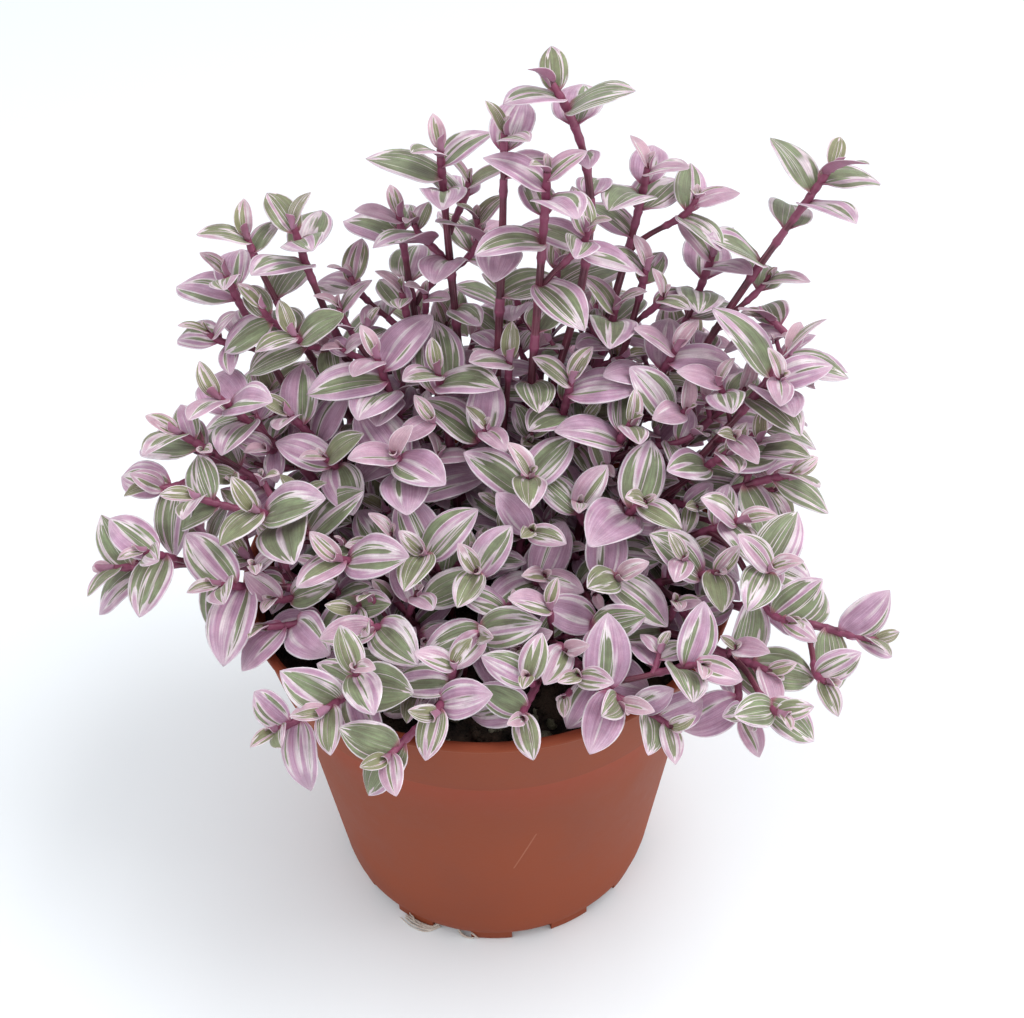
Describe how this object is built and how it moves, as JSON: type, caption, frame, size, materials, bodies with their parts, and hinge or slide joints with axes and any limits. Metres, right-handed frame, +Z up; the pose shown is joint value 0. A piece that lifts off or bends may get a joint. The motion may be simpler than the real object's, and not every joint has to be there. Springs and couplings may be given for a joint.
{
  "type": "potted tradescantia",
  "caption": "Bushy trailing houseplant with small folded striped leaves on branching stems, rooted in potting soil in a round tapered pot with a banded rim and notched foot ring.",
  "frame": {"origin": "middle of the pot's foot ring, on the surface the pot stands on", "axes": "+Z up along the pot's axis; -Y towards the side where the low shoots hang over the rim; +X to the right seen from that side"},
  "size_m": [0.1927, 0.1466, 0.2162],
  "materials": {
    "pot_plastic": "matte moulded terracotta-brown plastic",
    "soil": "rough dark peat with pale grit",
    "foliage": "satin leaves striped sage green, cream and lilac pink, purple below, on burgundy stems"
  },
  "bodies": {
    "root": {"pot": "pot_plastic", "potting_soil": "soil", "leafy_stem_01": "foliage", "leafy_stem_02": "foliage", "leafy_stem_03": "foliage", "leafy_stem_04": "foliage", "leafy_stem_05": "foliage", "leafy_stem_06": "foliage", "leafy_stem_07": "foliage", "leafy_stem_08": "foliage", "leafy_stem_09": "foliage", "leafy_stem_10": "foliage", "leafy_stem_11": "foliage", "leafy_stem_12": "foliage", "leafy_stem_13": "foliage", "leafy_stem_14": "foliage", "leafy_stem_15": "foliage", "leafy_stem_16": "foliage", "leafy_stem_17": "foliage", "leafy_stem_18": "foliage", "leafy_stem_19": "foliage", "leafy_stem_20": "foliage", "leafy_stem_21": "foliage", "leafy_stem_22": "foliage", "leafy_stem_23": "foliage", "leafy_stem_24": "foliage", "leafy_stem_25": "foliage", "leafy_stem_26": "foliage", "leafy_stem_27": "foliage", "leafy_stem_28": "foliage", "leafy_stem_29": "foliage", "leafy_stem_30": "foliage", "leafy_stem_31": "foliage", "leafy_stem_32": "foliage", "leafy_stem_33": "foliage", "leafy_stem_34": "foliage", "leafy_stem_35": "foliage", "leafy_stem_36": "foliage", "leafy_stem_37": "foliage", "leafy_stem_38": "foliage", "leafy_stem_39": "foliage", "leafy_stem_40": "foliage", "leafy_stem_41": "foliage", "leafy_stem_42": "foliage", "leafy_stem_43": "foliage", "leafy_stem_44": "foliage", "leafy_stem_45": "foliage", "leafy_stem_46": "foliage", "leafy_stem_47": "foliage", "leafy_stem_48": "foliage", "leafy_stem_49": "foliage", "leafy_stem_50": "foliage", "leafy_stem_51": "foliage", "leafy_stem_52": "foliage", "leafy_stem_53": "foliage", "leafy_stem_54": "foliage", "leafy_stem_55": "foliage", "leafy_stem_56": "foliage", "leafy_stem_57": "foliage"}
  },
  "joints": []
}
